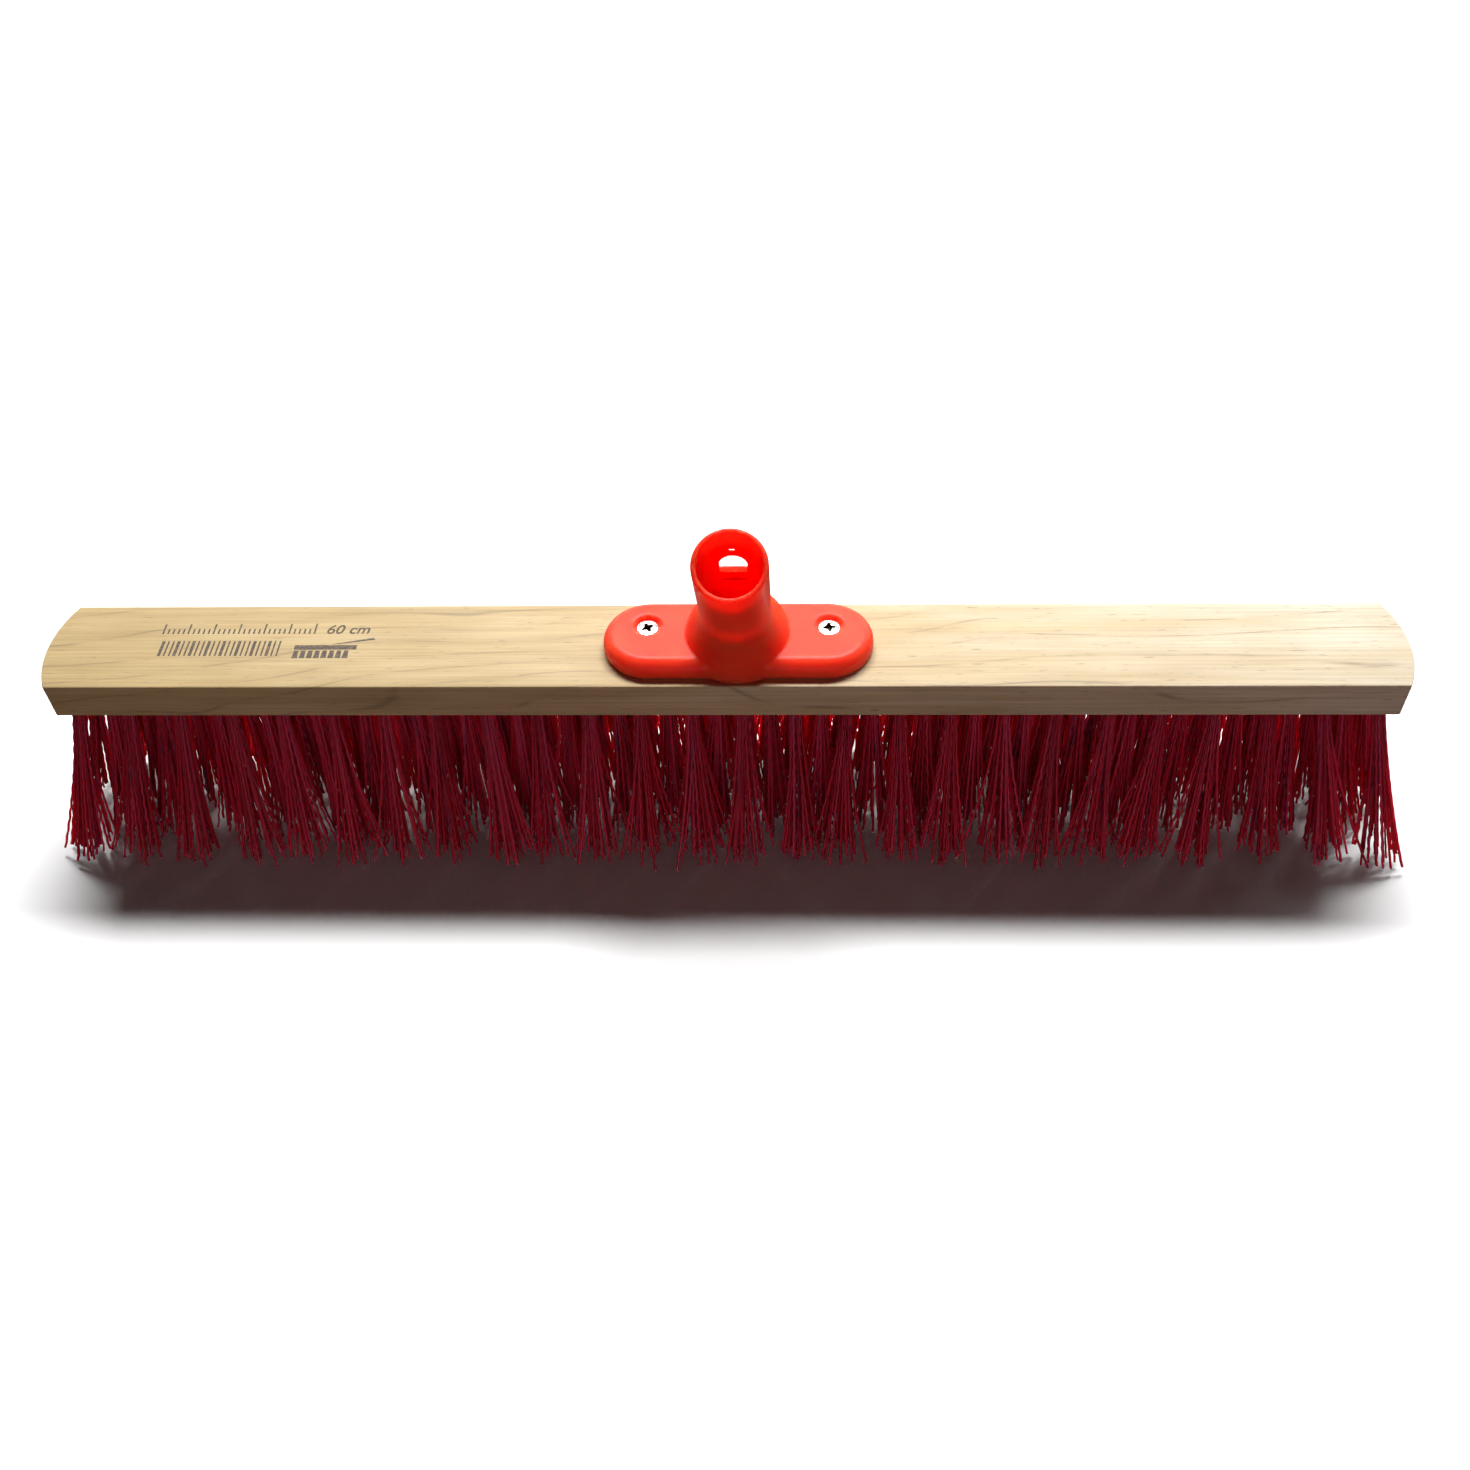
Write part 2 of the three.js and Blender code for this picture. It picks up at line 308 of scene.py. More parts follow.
# %% Board colour
def board_colour(tree, x):
    """Long soft bands, from honey at the left end to chalk at the right; the paler right end is partly
    the wood's own tone and partly painted light.
    """
    bands = noise(tree, (1.0, 9.0, 9.0), 5.0, detail=4.0, distortion=1.2)
    honey, cream, chalk = (0.46, 0.34, 0.165), (0.53, 0.41, 0.235), (0.64, 0.575, 0.48)
    # Paler towards the right end: partly the wood's own tone, partly painted light from the right.
    paler_and_lit_to_right = calc(tree, "MULTIPLY_ADD", x, 1.3, 0.10)
    shade = calc(tree, "MULTIPLY_ADD", bands, 0.7, paler_and_lit_to_right)
    return ramp(tree, shade, (0.15, honey), (0.5, cream), (0.95, chalk))


# %% Growth lines
def with_growth_lines(tree, base, x, y, z):
    """Adds rings, cut lengthways: arched and wavy along the board, a thin line at each."""
    wavy = noise(tree, (1.0, 2.5, 2.5), 4.0, detail=2.0, distortion=0.4)
    arch = calc(tree, "MULTIPLY", x, calc(tree, "MULTIPLY_ADD", x, 0.17, -0.05))
    depth = calc(tree, "MULTIPLY_ADD", z, 0.5, calc(tree, "ADD", y, arch))
    height = calc(tree, "MULTIPLY_ADD", depth, 90.0, calc(tree, "MULTIPLY", wavy, 7.0))
    rings = calc(tree, "PINGPONG", height, 0.5)
    late = ramp(tree, rings, (0.0, (0.92, 0.89, 0.84)), (0.4, (1, 1, 1)))
    base = blend_colours(tree, 0.7, base, late, "MULTIPLY")
    line = ramp(tree, rings, (0.0, (1, 1, 1)), (0.055, (0, 0, 0)))
    gaps = noise(tree, (1, 4, 4), 30.0)
    broken = ramp(tree, gaps, (0.44, (0, 0, 0)), (0.60, (1, 1, 1)))
    line = calc(tree, "MULTIPLY", calc(tree, "MULTIPLY", line, broken), 0.65)
    return blend_colours(tree, line, base, (0.22, 0.17, 0.11, 1))


# %% Wood material
def wood_material():
    """Bare sanded wood, with clouds, fibres and flecks over its bands and rings."""
    material, tree, shader = new_material("bare_wood", Specular_IOR_Level=0.35)
    x, y, z = add(tree, "ShaderNodeSeparateXYZ", {0: object_points(tree)}).outputs
    base = with_growth_lines(tree, board_colour(tree, x), x, y, z)

    clouds = noise(tree, (1, 3, 3), 22.0)
    cloud_tone = ramp(tree, clouds, (0.35, (0.90, 0.88, 0.84)), (0.6, (1, 1, 1)))
    base = blend_colours(tree, 0.8, base, cloud_tone, "MULTIPLY")
    fibre = noise(tree, (14.0, 900.0, 900.0), 1.0, detail=4.0)
    fibre_tone = ramp(tree, fibre, (0.3, (0.74, 0.72, 0.68)), (0.7, (1.0, 1.0, 1.0)))
    base = blend_colours(tree, 0.85, base, fibre_tone, "MULTIPLY")
    fleck = noise(tree, (110.0, 1000.0, 1000.0), 1.0, detail=2.0)
    fleck_mask = ramp(tree, fleck, (0.65, (0, 0, 0)), (0.70, (1, 1, 1)))
    fleck_share = calc(tree, "MULTIPLY", fleck_mask, 0.6)
    base = blend_colours(tree, fleck_share, base, (0.20, 0.15, 0.09, 1))

    rough = calc(tree, "MULTIPLY_ADD", fibre, 0.25, 0.5)
    feed(tree, shader, Base_Color=base, Roughness=rough, Normal=bump(tree, fibre, 0.35, 0.15 * mm))
    return material


wood = wood_material()

# %% [markdown]
# ## Moulded plastic
# The socket is an orange-red polypropylene. It is satin, with the faint orange-peel of a
# moulding, and thick enough to glow where light comes through its wall, which a little
# subsurface scattering gives.

# %% Plastic material
def plastic_material():
    """Orange-red moulded plastic that glows where light comes through it."""
    material, tree, shader = new_material(
        "orange_red_plastic",
        Roughness=0.4,
        Specular_IOR_Level=0.17,
        Subsurface_Weight=1.0,
        Subsurface_Radius=(1.0, 0.04, 0.12),
        Subsurface_Scale=16 * mm,
    )
    cloud = noise(tree, EVEN, 45.0, detail=2.0)
    base = ramp(tree, cloud, (0.35, (0.94, 0.046, 0.013)), (0.7, (0.97, 0.062, 0.020)))
    rough = calc(tree, "MULTIPLY_ADD", cloud, 0.12, 0.33)
    peel = bump(tree, noise(tree, EVEN, 900.0, detail=1.0), 0.25, 0.03 * mm)
    feed(tree, shader, Base_Color=base, Roughness=rough, Normal=peel)
    return material


plastic = plastic_material()

# %% [markdown]
# ## Zinc, ink and filament
# The screws are bright zinc with fine turning marks, and painted shade darkens the bottom
# of the cross recess. The filaments are dark red PVC that light passes through, which
# subsurface scattering gives at this thickness. Each filament has its own tone, stored on
# the mesh when it is made.

# %% Zinc material
def zinc_material():
    """Bright zinc, with painted shade where the mesh says it is sunk, deep in the cross recess."""
    material, tree, shader = new_material("bright_zinc", Metallic=1.0, Roughness=0.22)
    cloud = noise(tree, EVEN, 600.0, detail=3.0)
    base = ramp(tree, cloud, (0.3, (0.70, 0.69, 0.66)), (0.75, (0.86, 0.85, 0.82)))
    sunk = add(tree, "ShaderNodeAttribute", attribute_name="sunk").outputs["Fac"]
    # Painted shade: where "sunk" is high, deep in the cross recess, the zinc is darkened.
    base = blend_colours(tree, sunk, base, (0.035, 0.028, 0.018, 1))
    rough = calc(tree, "MULTIPLY_ADD", cloud, 0.25, 0.12)
    marks = bump(tree, noise(tree, (3000.0, 500.0, 500.0), 1.0, detail=2.0), 0.2, 0.02 * mm)
    feed(tree, shader, Base_Color=base, Roughness=rough, Normal=marks)
    return material


zinc = zinc_material()


# %% Ink material
def ink_material():
    """Dark-brown ink, worn thin in places."""
    material, tree, shader = new_material("brown_ink", Roughness=0.7)
    wear = noise(tree, (1.0, 2.0, 2.0), 900.0, detail=3.0)
    base = ramp(tree, wear, (0.50, (0.05, 0.032, 0.02)), (0.75, (0.20, 0.135, 0.075)))
    feed(tree, shader, Base_Color=base)
    return material


ink = ink_material()


# %% Filament material
def filament_material():
    """Dark red filament, each one with the tone that the mesh holds."""
    material, tree, shader = new_material(
        "dark_red_filament",
        Roughness=0.25,
        Subsurface_Weight=1.0,
        Subsurface_Radius=(1.0, 0.08, 0.14),
        Subsurface_Scale=5 * mm,
    )
    tone = add(tree, "ShaderNodeAttribute", attribute_name="tone").outputs["Fac"]
    dark, middle, light = (0.38, 0.012, 0.034), (0.60, 0.024, 0.060), (0.78, 0.050, 0.115)
    base = ramp(tree, tone, (0.0, dark), (0.6, middle), (1.0, light))
    feed(tree, shader, Base_Color=base)
    return material


filament = filament_material()

# %% [markdown]
# ## Shapes from distances
# The socket flows from plate to boss to tube with soft fillets, which are hard to model
# face by face. Instead each form is written as a distance: negative inside, positive
# outside. Joining forms takes the smaller distance and cutting takes the larger, and a
# rounded minimum leaves a fillet. The skin is then drawn where the distance is zero.

# %% Rounded joins and cuts
def join(a, b, fillet):
    """The distance to either form, with a fillet where they meet."""
    near = np.maximum(fillet - np.abs(a - b), 0.0) / fillet
    return np.minimum(a, b) - near * near * fillet / 4


def cut(a, b, fillet):
    """The distance to form a without form b, with the edge rounded."""
    return -join(-a, b, fillet)


def rounded(across, along, rounding):
    """A section with two crossing limits, both negative inside, and a rounded corner."""
    u, v = across + rounding, along + rounding
    outside = np.hypot(np.maximum(u, 0), np.maximum(v, 0))
    return outside + np.minimum(np.maximum(u, v), 0) - rounding


# %% [markdown]
# The skin goes through every cell of a grid that the surface crosses, with one corner point
# in each, and one face for every grid edge that passes through the surface. A few steps
# along the gradient then put each corner exactly on the surface, so it shades smoothly.

# %% Skin a distance
CELL_CORNERS = [(i, j, k) for i in (0, 1) for j in (0, 1) for k in (0, 1)]


def gradient(distance, points, step):
    """The slope of a distance at points."""
    slopes = []
    for axis in range(3):
        shift = np.zeros(3)
        shift[axis] = step
        slopes.append(distance(*(points + shift).T) - distance(*(points - shift).T))
    return np.stack(slopes, 1) / (2 * step)


def settle(distance, points, cell):
    """Moves points onto the surface, none of them further than a cell."""
    start = points.copy()
    for _ in range(4):
        slope = gradient(distance, points, cell / 20)
        steepness = np.maximum((slope * slope).sum(1), 0.05)
        points = points - slope * (distance(*points.T) / steepness)[:, None]
        points = start + np.clip(points - start, -cell, cell)
    return points


def skin(distance, low, high, cell):
    """Corner points and four-sided faces of the surface inside a box."""
    axes = [np.arange(a - 2 * cell, b + 3 * cell, cell) for a, b in zip(low, high)]
    value = distance(*np.meshgrid(*axes, indexing="ij"))
    inside = value < 0
    shape = np.array(value.shape) - 1
    windows = [inside[i:i + shape[0], j:j + shape[1], k:k + shape[2]] for i, j, k in CELL_CORNERS]
    count = sum(window.astype(np.int8) for window in windows)
    crossed = (count > 0) & (count < 8)
    number = np.full(shape, -1)
    number[crossed] = np.arange(crossed.sum())
    cells = np.argwhere(crossed)

    # The mean of the inside corners and of the outside corners, weighted by their values.
    total = np.zeros((len(cells), 3))
    weight = np.zeros((len(cells), 1))
    for corner in CELL_CORNERS:
        here = cells + corner
        pull = 1.0 / (np.abs(value[tuple(here.T)])[:, None] + 0.05 * cell)
        total += pull * here
        weight += pull
    points = np.array([axis[0] for axis in axes]) + cell * total / weight

    faces = []
    for axis in range(3):
        one, two = (axis + 1) % 3, (axis + 2) % 3
        step = np.eye(3, dtype=int)
        first = np.moveaxis(inside, axis, 0)
        changes = np.moveaxis(first[:-1] != first[1:], 0, axis)
        edges = np.argwhere(changes)
        edges = edges[(edges[:, one] > 0) & (edges[:, two] > 0)]
        ring = [edges, edges - step[one], edges - step[one] - step[two], edges - step[two]]
        quads = np.stack([number[tuple(corner.T)] for corner in ring], 1)
        leaving = inside[tuple(edges.T)]
        faces += [quads[leaving], quads[~leaving][:, ::-1]]
    return settle(distance, points, cell), np.concatenate(faces)


def skinned_object(name, distance, low, high, cell, material):
    """An object skinned over a distance, shaded smooth."""
    points, faces = skin(distance, low, high, cell)
    made = mesh_object(name, points.tolist(), faces.tolist(), material)
    made.data.shade_smooth()
    print(name, "has", len(faces), "faces")
    return made


# %% [markdown]
# ## The handle socket
# A stadium-shaped plate lies on the block. A domed boss stands on it and carries the tube,
# which leans towards the person sweeping. The bore narrows as it goes down, so a handle
# jams tight. The rear wall has an arched window, where the end of the handle can be seen,
# and above it a hole for the screw that locks the handle.

# %% Socket sizes
socket_x = (socket_low.x + socket_high.x) / 2
socket_y = -1.2 * mm
plate_bottom = socket_low.z
plate_top = plate_bottom + 9 * mm
plate_half_length = (socket_high.x - socket_low.x) / 2
plate_radius, plate_rounding, plate_fillet = 20.5 * mm, 5 * mm, 1.4 * mm
tube_reach, tube_radius, tube_foot = 87 * mm, 15 * mm, 8 * mm
tube_fillet, rim_rounding = 13 * mm, 0.7 * mm
bore_depth, bore_edge = 78 * mm, 0.6 * mm
bore_mouth, bore_bottom = 13 * mm, 12 * mm
boss_foot, boss_radius, boss_height = 23.5 * mm, 21.5 * mm, 16 * mm
window_half, window_sill, window_top = 5.7 * mm, 40.3 * mm, 25.6 * mm
screw_hole_radius, screw_hole_from_mouth = 1.4 * mm, 19.5 * mm
dish_radius, dish_edge, shank_hole_radius = 6.6 * mm, 0.8 * mm, 2.5 * mm
head_cone, head_rim = 3 * mm, 0.6 * mm
flat_rear, flat_margin, flat_middle, flat_half_length = 13.7 * mm, 1 * mm, 8 * mm, 14 * mm
ledge_rear, ledge_length = 10.6 * mm, 9 * mm
screw_places = [((low + high) / 2).xy for low, high in screw_boxes.values()]
head_top = screw_boxes["left"][1].z
head_radius = (screw_boxes["left"][1].x - screw_boxes["left"][0].x) / 2
print("socket centre", round(socket_x, 4), "head top", round(head_top, 4))


# %% Socket forms
def plate_form(x, y, z):
    """The plate: round ends, its top edge rounded over, its underside flat."""
    beyond = np.maximum(np.abs(x - socket_x) - (plate_half_length - plate_radius), 0)
    side = np.hypot(beyond, y - socket_y) - plate_radius
    return np.maximum(rounded(side, z - plate_top, plate_rounding), plate_bottom - z)


def boss_form(x, y, z):
    """The boss: sides with a little draft up to the plate's top, then a dome."""
    across = np.hypot(x - socket_x, y - socket_y)
    up = np.maximum(z - plate_top, 0)
    scaled = np.hypot(across / boss_radius, up / boss_height)
    squashed = np.hypot(across / boss_radius**2, up / boss_height**2)
    dome = scaled * (scaled - 1) / np.maximum(squashed, 1.0)
    draft = (boss_foot - boss_radius) / (plate_top - plate_bottom)
    sides = across - boss_radius - draft * (plate_top - z)
    return np.where(z > plate_top, dome, sides)


def tube_places(x, y, z):
    """How far points are up the tube, out from its axis, and towards its rear wall."""
    dy, dz = y - socket_y, z - plate_top
    up = dy * tube_axis.y + dz * tube_axis.z
    rear = dy * tube_axis.z - dz * tube_axis.y
    return up, np.hypot(x - socket_x, rear), rear


def bore_form(up, out):
    """The tapered bore, open at the mouth."""
    start = tube_reach - bore_depth
    taper = (bore_mouth - bore_bottom) / bore_depth
    return np.maximum(out - bore_bottom - taper * (up - start), start - up)


def window_form(x, up, rear):
    """The arched window and the small screw hole, through the rear wall only."""
    across = x - socket_x
    arch_centre = tube_reach - window_top - window_half
    arch = np.hypot(across, np.maximum(up - arch_centre, 0)) - window_half
    window = np.maximum(arch, (tube_reach - window_sill) - up)
    hole = np.hypot(across, up - (tube_reach - screw_hole_from_mouth)) - screw_hole_radius
    return np.maximum(np.minimum(window, hole), -rear)


def sill_forms(x, up, rear):
    """A flat on the tube's rear round the window, and a flat ledge in the bore below it."""
    across = np.abs(x - socket_x)
    sill = tube_reach - window_sill
    flat = np.maximum(flat_rear - rear, across - window_half - flat_margin)
    flat = np.maximum(flat, np.abs(up - sill - flat_middle) - flat_half_length)
    ledge = np.maximum(ledge_rear - rear, np.maximum(up - sill, sill - ledge_length - up))
    return flat, ledge


def seat_form(x, y, z, place):
    """A dished recess for a screw head, with its countersink and shank hole below."""
    cone_bottom, cone_top = head_top - head_cone, head_top - head_rim
    heights = [plate_bottom, cone_bottom, cone_top, head_top, plate_top]
    round_head = [head_radius + 0.2 * mm, head_radius + 0.3 * mm]
    radii = [shank_hole_radius, shank_hole_radius, *round_head, dish_radius]
    return 0.8 * (np.hypot(x - place.x, y - place.y) - np.interp(z, heights, radii))


def socket_distance(x, y, z):
    """The whole socket."""
    up, out, rear = tube_places(x, y, z)
    wall, middle = out - tube_radius, tube_reach / 2
    tube = rounded(wall, np.abs(up - middle) - middle, rim_rounding)
    tube = np.maximum(np.where(up < middle, wall, tube), -tube_foot - up)
    flat, ledge = sill_forms(x, up, rear)
    body = join(boss_form(x, y, z), cut(tube, flat, 0.6 * mm), tube_fillet)
    body = join(plate_form(x, y, z), body, plate_fillet)
    body = cut(body, cut(bore_form(up, out), ledge, 0.3 * mm), bore_edge)
    body = cut(body, window_form(x, up, rear), 0.4 * mm)
    for place in screw_places:
        body = cut(body, seat_form(x, y, z, place), dish_edge)
    return np.maximum(body, plate_bottom - z)


# %% Make the socket
socket = skinned_object("moulded_socket", socket_distance, socket_low, socket_high, 0.72 * mm, plastic)

# %% [markdown]
# ## The screws
# Each screw has a flat countersunk head with a cross recess, and a coarse wood thread that
# bites in the block. The thread is one ridge that climbs as it goes round: its height
# depends on the angle, so a whole helix takes a single line.

# %% Screw form
def screw_distance(x, y, z):
    """A screw on the Z axis, its head's top at zero."""
    out = np.hypot(x, y)
    length = screw_boxes["left"][1].z - screw_boxes["left"][0].z
    heights = [-length, -length + 3.5 * mm, -5 * mm, -4.4 * mm, -3 * mm, -0.5 * mm, 0]
    radii = [0, 1.5 * mm, 1.5 * mm, 2.2 * mm, 2.2 * mm, head_radius, head_radius]
    body = 0.7 * (out - np.interp(z, heights, radii))
    turn_height = 1.8 * mm
    phase = (z / turn_height - np.arctan2(y, x) / math.tau) % 1.0
    ridge = np.maximum(1 - 4 * np.abs(phase - 0.5), 0) * 0.7 * mm
    threaded = np.interp(z, [-length, -length + 2 * mm, -5.2 * mm, -4.6 * mm], [0.2, 1, 1, 0])
    body = body - 0.7 * ridge * threaded
    crown = z + 0.25 * mm * (out / head_radius) ** 2
    return rounded(body, crown, 0.15 * mm)


def cross_form(x, y, z):
    """The cross recess: two tapering arms with a cone where they meet."""
    depth = -z
    half_long = 2.7 * mm - 0.6 * np.maximum(depth, 0)
    half_wide = 0.7 * mm - 0.12 * np.maximum(depth, 0)
    arm = np.maximum(np.abs(x) - half_long, np.abs(y) - half_wide)
    other = np.maximum(np.abs(y) - half_long, np.abs(x) - half_wide)
    cone = 0.8 * (np.hypot(x, y) - 1.55 * mm + 0.5 * np.maximum(depth, 0))
    arms = join(np.minimum(arm, other), cone, 0.6 * mm)
    return np.maximum(arms, depth - 2.3 * mm)


# %% Make the screws
def make_screw(side, angle):
    """The screw on one side, its recess turned by an angle."""
    low, high = screw_boxes[side]
    middle = (low + high) / 2

    def distance(x, y, z):
        dx, dy, dz = x - middle.x, y - middle.y, z - high.z
        turned_x = dx * math.cos(angle) + dy * math.sin(angle)
        turned_y = dy * math.cos(angle) - dx * math.sin(angle)
        whole = screw_distance(turned_x, turned_y, dz)
        return cut(whole, cross_form(turned_x, turned_y, dz), 0.12 * mm)

    made = skinned_object("cross_screw_" + side, distance, low, high, 0.14 * mm, zinc)
    # The "sunk" attribute says where shade is painted: the deeper in the cross recess, the darker.
    sunk = made.data.attributes.new("sunk", "FLOAT", "POINT")
    places = np.array([vertex.co for vertex in made.data.vertices]) - [middle.x, middle.y, high.z]
    near_axis = np.hypot(places[:, 0], places[:, 1]) < 3.0 * mm
    depth = np.clip((-places[:, 2] - 0.12 * mm) / (0.3 * mm), 0, 1)
    head = places[:, 2] > -2.6 * mm
    sunk.data.foreach_set("value", np.where(near_axis & head, depth, 0.0))
    return made


recess_turns = {"left": math.radians(28), "right": math.radians(8)}
screws = {side: make_screw(side, turned) for side, turned in recess_turns.items()}

# %% [markdown]
# ## The tuft map
# Tufts stand in five staggered rows. The outer rows lean out to the front and the rear, and
# the last few tufts of every row lean out past the block's ends. The bristles, the holes
# and the staples all need the same places, so they are written once: a point on the
# underside for each tuft, and a vector that says where its tip ends.

# %% Tuft places
row_nodes = [
    "bristle_row_front",
    "bristle_row_front_inner",
    "bristle_row_middle",
    "bristle_row_rear_inner",
    "bristle_row_rear",
]
tuft_pitch = 22.92 * mm
row_spacing = 9.5 * mm
splay_across = 1.95
full_row = 26
upright_reach = 200.5 * mm
end_slope = 0.233
hole_depth = 10.5 * mm
hole_radius = 3.5 * mm


def tip_along(along):
    """How far along the block a tip is: only the tufts near the ends lean outwards."""
    past = max(0, abs(along) - upright_reach)
    return along + math.copysign(end_slope * past, along)


def tufts_of_row(row):
    """The root and tip of every tuft in a row, counted from the front."""
    count = full_row - row % 2
    places = []
    for i in range(count):
        root = Vector(((i - (count - 1) / 2) * tuft_pitch, (row - 2) * row_spacing, underside))
        places.append((root, Vector((tip_along(root.x), root.y * splay_across, 0))))
    return places


def tuft_map(name, places):
    """A mesh of loose points on the tufts' roots, with the tips as an attribute."""
    made = mesh_object(name, [root for root, tip in places], [])
    tips = made.data.attributes.new("tip", "FLOAT_VECTOR", "POINT")
    tips.data.foreach_set("vector", [value for root, tip in places for value in tip])
    return made


all_tufts = [place for row in range(5) for place in tufts_of_row(row)]
print(len(all_tufts), "tufts")

# %% [markdown]
# ## Working with Geometry Nodes
# A tree is built with named inputs, put on an object as a modifier, and evaluated. The
# inputs are set by their identifiers first. The result is kept as a plain mesh, so no live
# modifier is left on any piece.

# %% Make and run a tree
SOCKETS = {int: "NodeSocketInt", float: "NodeSocketFloat"}


def new_tree(name, sizes):
    """A geometry tree with an input for each size, and a material. Returns it and its ends."""
    tree = bpy.data.node_groups.new(name, "GeometryNodeTree")
    tree.interface.new_socket("Geometry", in_out="INPUT", socket_type="NodeSocketGeometry")
    for label, value in sizes.items():
        tree.interface.new_socket(label, in_out="INPUT", socket_type=SOCKETS[type(value)])
    tree.interface.new_socket("Material", in_out="INPUT", socket_type="NodeSocketMaterial")
    tree.interface.new_socket("Geometry", in_out="OUTPUT", socket_type="NodeSocketGeometry")
    return tree, add(tree, "NodeGroupInput").outputs, add(tree, "NodeGroupOutput").inputs[0]


def run_tree(name, start, tree, sizes, material):
    """Runs a tree on an object and keeps the result as a plain mesh in a new object."""
    modifier = start.modifiers.new(tree.name, "NODES")
    modifier.node_group = tree
    values = {**sizes, "Material": material}
    for item in tree.interface.items_tree:
        if item.in_out == "INPUT" and item.name in values:
            modifier[item.identifier] = values[item.name]
    evaluated = start.evaluated_get(bpy.context.evaluated_depsgraph_get())
    mesh = bpy.data.meshes.new_from_object(evaluated)
    mesh.name = name
    bpy.data.objects.remove(start)
    print(name, "has", len(mesh.polygons), "faces")
    return new_object(name, mesh)


# %% Steps that several trees share
def corners_as_points(tree, mesh):
    """A point at every corner of a mesh."""
    return add(tree, "GeometryNodeMeshToPoints", {"Mesh": mesh}).outputs[0]


def lifted(tree, mesh, height):
    """A mesh moved up."""
    inputs = {"Geometry": mesh, "Translation": combine(tree, z=height)}
    return add(tree, "GeometryNodeTransform", inputs).outputs[0]


def copies_on(tree, points, piece, **more):
    """A real copy of a piece on each point."""
    inputs = {"Points": points, "Instance": piece, **more}
    copies = add(tree, "GeometryNodeInstanceOnPoints", inputs).outputs[0]
    return add(tree, "GeometryNodeRealizeInstances", {0: copies}).outputs[0]


def tuft_ends(tree):
    """The root and the tip of the tuft at each point."""
    tip = add(tree, "GeometryNodeInputNamedAttribute", {"Name": "tip"}, data_type="FLOAT_VECTOR")
    return add(tree, "GeometryNodeInputPosition").outputs[0], tip.outputs["Attribute"]


def finish_tree(tree, geometry, material, output, smooth=True):
    """The end of every tree: real geometry, its shading and its material."""
    real = add(tree, "GeometryNodeRealizeInstances", {0: geometry}).outputs[0]
    shaded = add(tree, "GeometryNodeSetShadeSmooth", {"Geometry": real, "Shade Smooth": smooth})
    dressed = add(tree, "GeometryNodeSetMaterial", {"Geometry": shaded.outputs[0], "Material": material})
    tree.links.new(dressed.outputs[0], output)


# %% [markdown]
# ## Bristles
# A tuft is a bundle of filaments folded in half round a staple, so each filament is one
# curve: up from one tip, over in the hole, and down to the other tip. The tree copies each
# root point once for every filament, puts a straight curve there, and bends it by fields:
# how far along the tuft, how far out in the bundle, and a small zigzag for the crimp.

# %% Filament sizes
filament_sizes = {
    "Filaments in a tuft": 17,
    "Points in a filament": 53,
    "Hole depth": hole_depth - 0.6 * mm,
    "Bundle radius at root": 2.6 * mm,
    "Bundle radius at tip": 10.5 * mm,
    "Filament radius": 0.6 * mm,
    "Crimp height": 0.2 * mm,
    "Uneven length": 0.08,
    "Stray": 14.0 * mm,
    "Tuft lean": 4.0 * mm,
    "Seed": 1,
}
GOLDEN_ANGLE = math.pi * (3 - math.sqrt(5))
tip_reach = 0.985  # of the way to the floor, for the longest filaments
fold_sharpness = 12.0  # how soon after the fold the two legs lie side by side
opening_curve, stray_curve = 1.6, 1.7  # 1 is even along the tuft, and more is later


# %% Fields
def keep_fields(tree, geometry, fields):
    """Captures fields on a geometry. Returns the geometry and the captured fields by name."""
    capture = add(tree, "GeometryNodeCaptureAttribute")
    for label, (kind, socket) in fields.items():
        capture.capture_items.new(kind, label)
        tree.links.new(socket, capture.inputs[label])
    tree.links.new(geometry, capture.inputs["Geometry"])
    return capture.outputs["Geometry"], {label: capture.outputs[label] for label in fields}


def chance(tree, given, offset, identity, low=0.0, high=1.0):
    """A random number for each identity. Every use has its own offset from the seed."""
    made = add(tree, "FunctionNodeRandomValue", data_type="FLOAT")
    for label, value in (("Min", low), ("Max", high)):
        next(s for s in made.inputs if s.name == label and s.type == "VALUE").default_value = value
    tree.links.new(identity, made.inputs["ID"])
    tree.links.new(calc(tree, "ADD", given["Seed"], offset), made.inputs["Seed"])
    return next(s for s in made.outputs if s.type == "VALUE")


def around(tree, angle, distance):
    """A level vector with an angle and a length."""
    direction = combine(tree, calc(tree, "COSINE", angle), calc(tree, "SINE", angle))
    return vector(tree, "SCALE", direction, distance)


# %% Straight strands
def straight_strands(tree, given):
    """A straight curve for every filament. Returns the curves and what each one keeps."""
    wanted = {"Geometry": given["Geometry"], "Amount": given["Filaments in a tuft"]}
    copies = add(tree, "GeometryNodeDuplicateElements", wanted, domain="POINT")
    root, tip = tuft_ends(tree)
    points, kept = keep_fields(tree, copies.outputs["Geometry"], {
        "root": ("VECTOR", root),
        "tip": ("VECTOR", tip),
        "filament": ("INT", add(tree, "GeometryNodeInputIndex").outputs[0]),
        "copy": ("INT", copies.outputs["Duplicate Index"]),
    })
    line = add(tree, "GeometryNodeCurvePrimitiveLine", {"End": (0, 0, 1)}).outputs[0]
    count = given["Points in a filament"]
    strand = add(tree, "GeometryNodeResampleCurve", {"Curve": line, "Count": count}).outputs[0]
    return copies_on(tree, points, strand), kept


